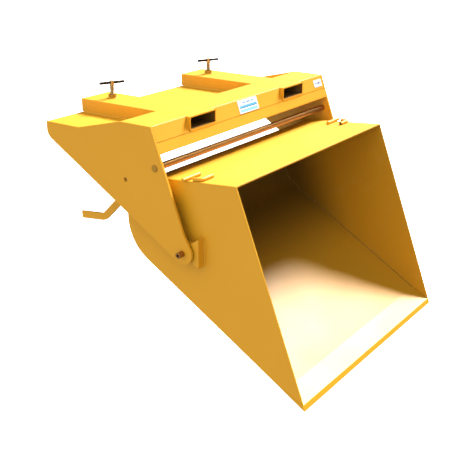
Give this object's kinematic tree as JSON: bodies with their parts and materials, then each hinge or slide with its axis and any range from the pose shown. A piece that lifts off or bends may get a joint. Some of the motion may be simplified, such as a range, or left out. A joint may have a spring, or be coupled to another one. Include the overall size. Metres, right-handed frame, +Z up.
{
  "type": "fork-mounted tipping bucket",
  "caption": "Steel scoop bucket hinged in a frame that slides onto lift-truck forks; a lever-worked latch lets it tip forward to empty, and clamp screws grip the forks.",
  "frame": {"origin": "midway between the two fork tubes, on their rear faces and on the plane where the forks bear on the tube roofs", "axes": "+X to the right seen from the bucket mouth, -Y towards the mouth, +Y towards the truck, +Z up"},
  "size_m": [1.566, 1.4537, 1.2804],
  "materials": {
    "yellow_paint": "semi-gloss",
    "zinc_steel": "satin",
    "dark_steel": "satin",
    "pale_panel": "satin"
  },
  "bodies": {
    "frame": {"frame_side_left": "yellow_paint", "frame_side_right": "yellow_paint", "deck_plate": "yellow_paint", "fork_tube_left": "yellow_paint", "fork_tube_right": "yellow_paint", "front_box_left": "yellow_paint", "front_box_centre": "yellow_paint", "front_box_right": "yellow_paint", "front_rail": "yellow_paint", "cross_bar": "zinc_steel", "clamp_nut_left": "yellow_paint", "clamp_nut_right": "yellow_paint", "marking_panel_centre": "pale_panel", "marking_panel_end": "pale_panel"},
    "latch": {"latch_shaft": "zinc_steel", "shaft_collar_left": "yellow_paint", "shaft_collar_right": "yellow_paint", "release_lever": "yellow_paint", "latch_hook_left": "yellow_paint", "latch_hook_right": "yellow_paint"},
    "bucket": {"bucket_side_left": "yellow_paint", "bucket_side_right": "yellow_paint", "bucket_shell": "yellow_paint", "cutting_edge": "yellow_paint", "hinge_block_left": "yellow_paint", "hinge_block_right": "yellow_paint", "hinge_pin_left": "zinc_steel", "hinge_pin_right": "zinc_steel", "top_lug_left": "yellow_paint", "top_lug_right": "yellow_paint", "catch_rod_left": "yellow_paint", "catch_rod_right": "yellow_paint"},
    "pad_left": {"clamp_pad_left": "zinc_steel"},
    "screw_left": {"clamp_screw_left": "zinc_steel", "tommy_bar_left": "dark_steel"},
    "pad_right": {"clamp_pad_right": "zinc_steel"},
    "screw_right": {"clamp_screw_right": "zinc_steel", "tommy_bar_right": "dark_steel"}
  },
  "joints": [
    {"name": "bucket_tip", "type": "hinge", "parent": "frame", "child": "bucket", "pos_m": [0, -0.828, -0.555], "axis": [1, 0, 0], "range_deg": [-30.2, 0]},
    {"name": "latch_release", "type": "hinge", "parent": "frame", "child": "latch", "pos_m": [0, -0.504, -0.264], "axis": [1, 0, 0], "range_deg": [0, 22]},
    {"name": "clamp_travel_left", "type": "slide", "parent": "frame", "child": "pad_left", "axis": [0, 0, -1], "range_m": [0, 0.04]},
    {"name": "clamp_turn_left", "type": "hinge", "parent": "pad_left", "child": "screw_left", "pos_m": [-0.4, -0.118, 0], "axis": [0, 0, -1], "range_deg": [0, 4801]},
    {"name": "clamp_travel_right", "type": "slide", "parent": "frame", "child": "pad_right", "axis": [0, 0, -1], "range_m": [0, 0.04]},
    {"name": "clamp_turn_right", "type": "hinge", "parent": "pad_right", "child": "screw_right", "pos_m": [0.4, -0.118, 0], "axis": [0, 0, -1], "range_deg": [0, 4801]}
  ],
  "couplings": [
    {"joint": "clamp_turn_left", "follows": "clamp_travel_left", "rad_per_m": 2094.4},
    {"joint": "clamp_turn_right", "follows": "clamp_travel_right", "rad_per_m": 2094.4}
  ]
}
